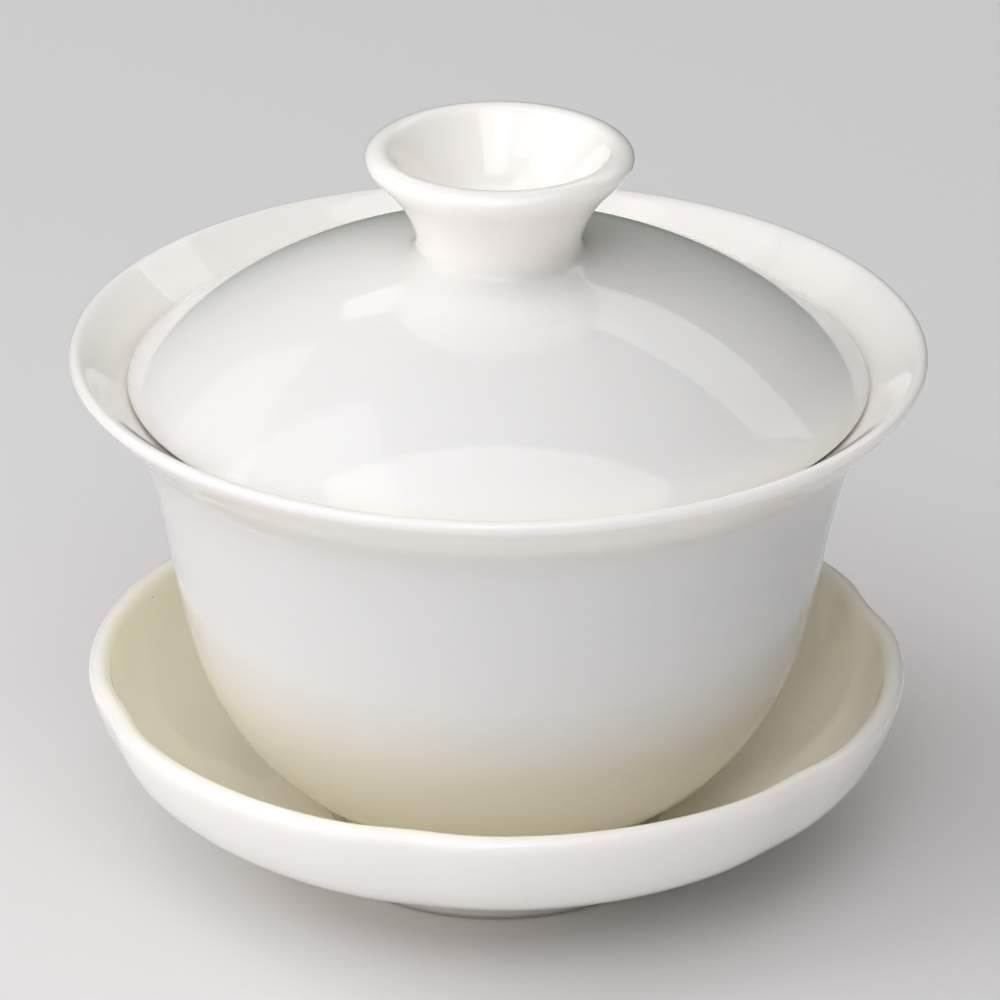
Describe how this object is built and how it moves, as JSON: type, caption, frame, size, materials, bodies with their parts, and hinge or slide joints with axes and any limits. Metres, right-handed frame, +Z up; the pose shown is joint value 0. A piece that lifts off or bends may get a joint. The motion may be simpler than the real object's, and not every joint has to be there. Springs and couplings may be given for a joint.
{
  "type": "gaiwan",
  "caption": "Glossy ivory porcelain gaiwan: a flared tea bowl with a domed lid and cup-shaped knob, standing in the well of a deep lobed saucer.",
  "frame": {"origin": "centre of the saucer's foot ring, on the surface that the gaiwan stands on", "axes": "+Z up along the common axis of saucer, bowl and lid; one valley of the saucer's lobed rim lies 18 degrees from +X towards +Y"},
  "size_m": [0.1, 0.1, 0.0893],
  "materials": {
    "saucer_porcelain": "glossy clear glaze over ivory porcelain, unglazed foot ring",
    "bowl_porcelain": "glossy clear glaze over ivory porcelain, unglazed foot ring",
    "lid_porcelain": "glossy clear glaze over ivory porcelain"
  },
  "bodies": {
    "saucer": {"saucer": "saucer_porcelain"},
    "bowl": {"bowl": "bowl_porcelain"},
    "lid": {"lid": "lid_porcelain"}
  },
  "joints": [
    {"name": "bowl_lift", "type": "slide", "parent": "saucer", "child": "bowl", "axis": [0, 0, 1], "range_m": [0, 0.04]},
    {"name": "lid_lift", "type": "slide", "parent": "bowl", "child": "lid", "axis": [0, 0, 1], "range_m": [0, 0.04]}
  ]
}
